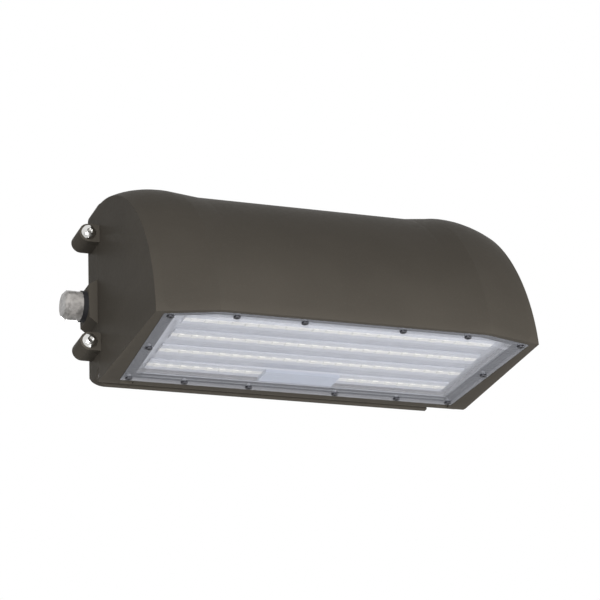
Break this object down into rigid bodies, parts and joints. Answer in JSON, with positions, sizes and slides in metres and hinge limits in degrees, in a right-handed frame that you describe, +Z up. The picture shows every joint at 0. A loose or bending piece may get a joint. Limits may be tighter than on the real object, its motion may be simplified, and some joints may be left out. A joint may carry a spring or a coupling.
{
  "type": "wall pack light",
  "caption": "Outdoor LED wall pack: dark bronze hood on a back box, clear lens facing down, button photocell on the left side.",
  "frame": {"origin": "middle of the back box on the wall plane", "axes": "+X to the viewer's right, +Y into the wall, +Z up; the hood is at -Y and its lens faces -Z"},
  "size_m": [0.4083, 0.208, 0.1833],
  "materials": {
    "bronze_paint": "satin textured powder coat, dark bronze",
    "rubber_seal": "matte",
    "clear_lens": "clear moulded polycarbonate, lightly frosted",
    "smoked_cap": "translucent silvery cap",
    "dark_screw": "black oxide",
    "bright_steel": "zinc plated",
    "screw_steel": "polished stainless steel",
    "ground_green": "green passivated",
    "bare_aluminium": "satin",
    "tray_steel": "galvanised",
    "board_white": "white solder mask",
    "led_light": "phosphor face",
    "driver_case": "satin",
    "black_plastic": "matte",
    "white_plastic": "matte",
    "lead_cover": "satin insulation",
    "sensor_face": "sensor face"
  },
  "bodies": {
    "back": {"back_box": "bronze_paint", "wall_gasket": "rubber_seal", "door_gasket": "rubber_seal", "photocell_body": "black_plastic", "photocell_gasket": "rubber_seal", "photocell_cap": "smoked_cap", "photocell_sensor": "sensor_face", "photocell_nut": "black_plastic", "hub_plug": "bronze_paint", "hub_plug_gasket": "rubber_seal", "terminal_block": "black_plastic", "terminal_screws": "bright_steel", "terminal_clamps": "bright_steel", "ground_screw": "ground_green", "ground_washer": "bright_steel", "entry_grommet": "rubber_seal", "photocell_leads": "lead_cover", "hinge_pin_left": "bright_steel", "hinge_pin_right": "bright_steel"},
    "door": {"front_housing": "bronze_paint", "lens": "clear_lens", "lens_gasket": "rubber_seal", "lens_screws": "dark_screw", "led_plate": "bare_aluminium", "plate_screws": "bright_steel", "led_board_1": "board_white", "led_board_2": "board_white", "led_board_3": "board_white", "led_board_4": "board_white", "led_chips": "led_light", "wire_cover": "board_white", "driver_tray": "tray_steel", "tray_screws": "bright_steel", "led_driver": "driver_case", "driver_screws": "bright_steel", "surge_protector": "black_plastic", "connector_socket": "white_plastic", "connector_plug": "white_plastic", "supply_leads": "lead_cover", "output_leads": "lead_cover"},
    "closer_upper_left": {"closing_screw_upper_left": "screw_steel", "retainer_upper_left": "rubber_seal"},
    "closer_lower_left": {"closing_screw_lower_left": "screw_steel", "retainer_lower_left": "rubber_seal"},
    "closer_upper_right": {"closing_screw_upper_right": "screw_steel", "retainer_upper_right": "rubber_seal"},
    "closer_lower_right": {"closing_screw_lower_right": "screw_steel", "retainer_lower_right": "rubber_seal"}
  },
  "joints": [
    {"name": "door_hinge", "type": "hinge", "parent": "back", "child": "door", "pos_m": [0, -0.029, -0.084], "axis": [1, 0, 0], "range_deg": [0, 90]},
    {"name": "closer_upper_left_slide", "type": "slide", "parent": "door", "child": "closer_upper_left", "axis": [0, -1, 0], "range_m": [0, 0.004]},
    {"name": "closer_lower_left_slide", "type": "slide", "parent": "door", "child": "closer_lower_left", "axis": [0, -1, 0], "range_m": [0, 0.004]},
    {"name": "closer_upper_right_slide", "type": "slide", "parent": "door", "child": "closer_upper_right", "axis": [0, -1, 0], "range_m": [0, 0.004]},
    {"name": "closer_lower_right_slide", "type": "slide", "parent": "door", "child": "closer_lower_right", "axis": [0, -1, 0], "range_m": [0, 0.004]}
  ]
}
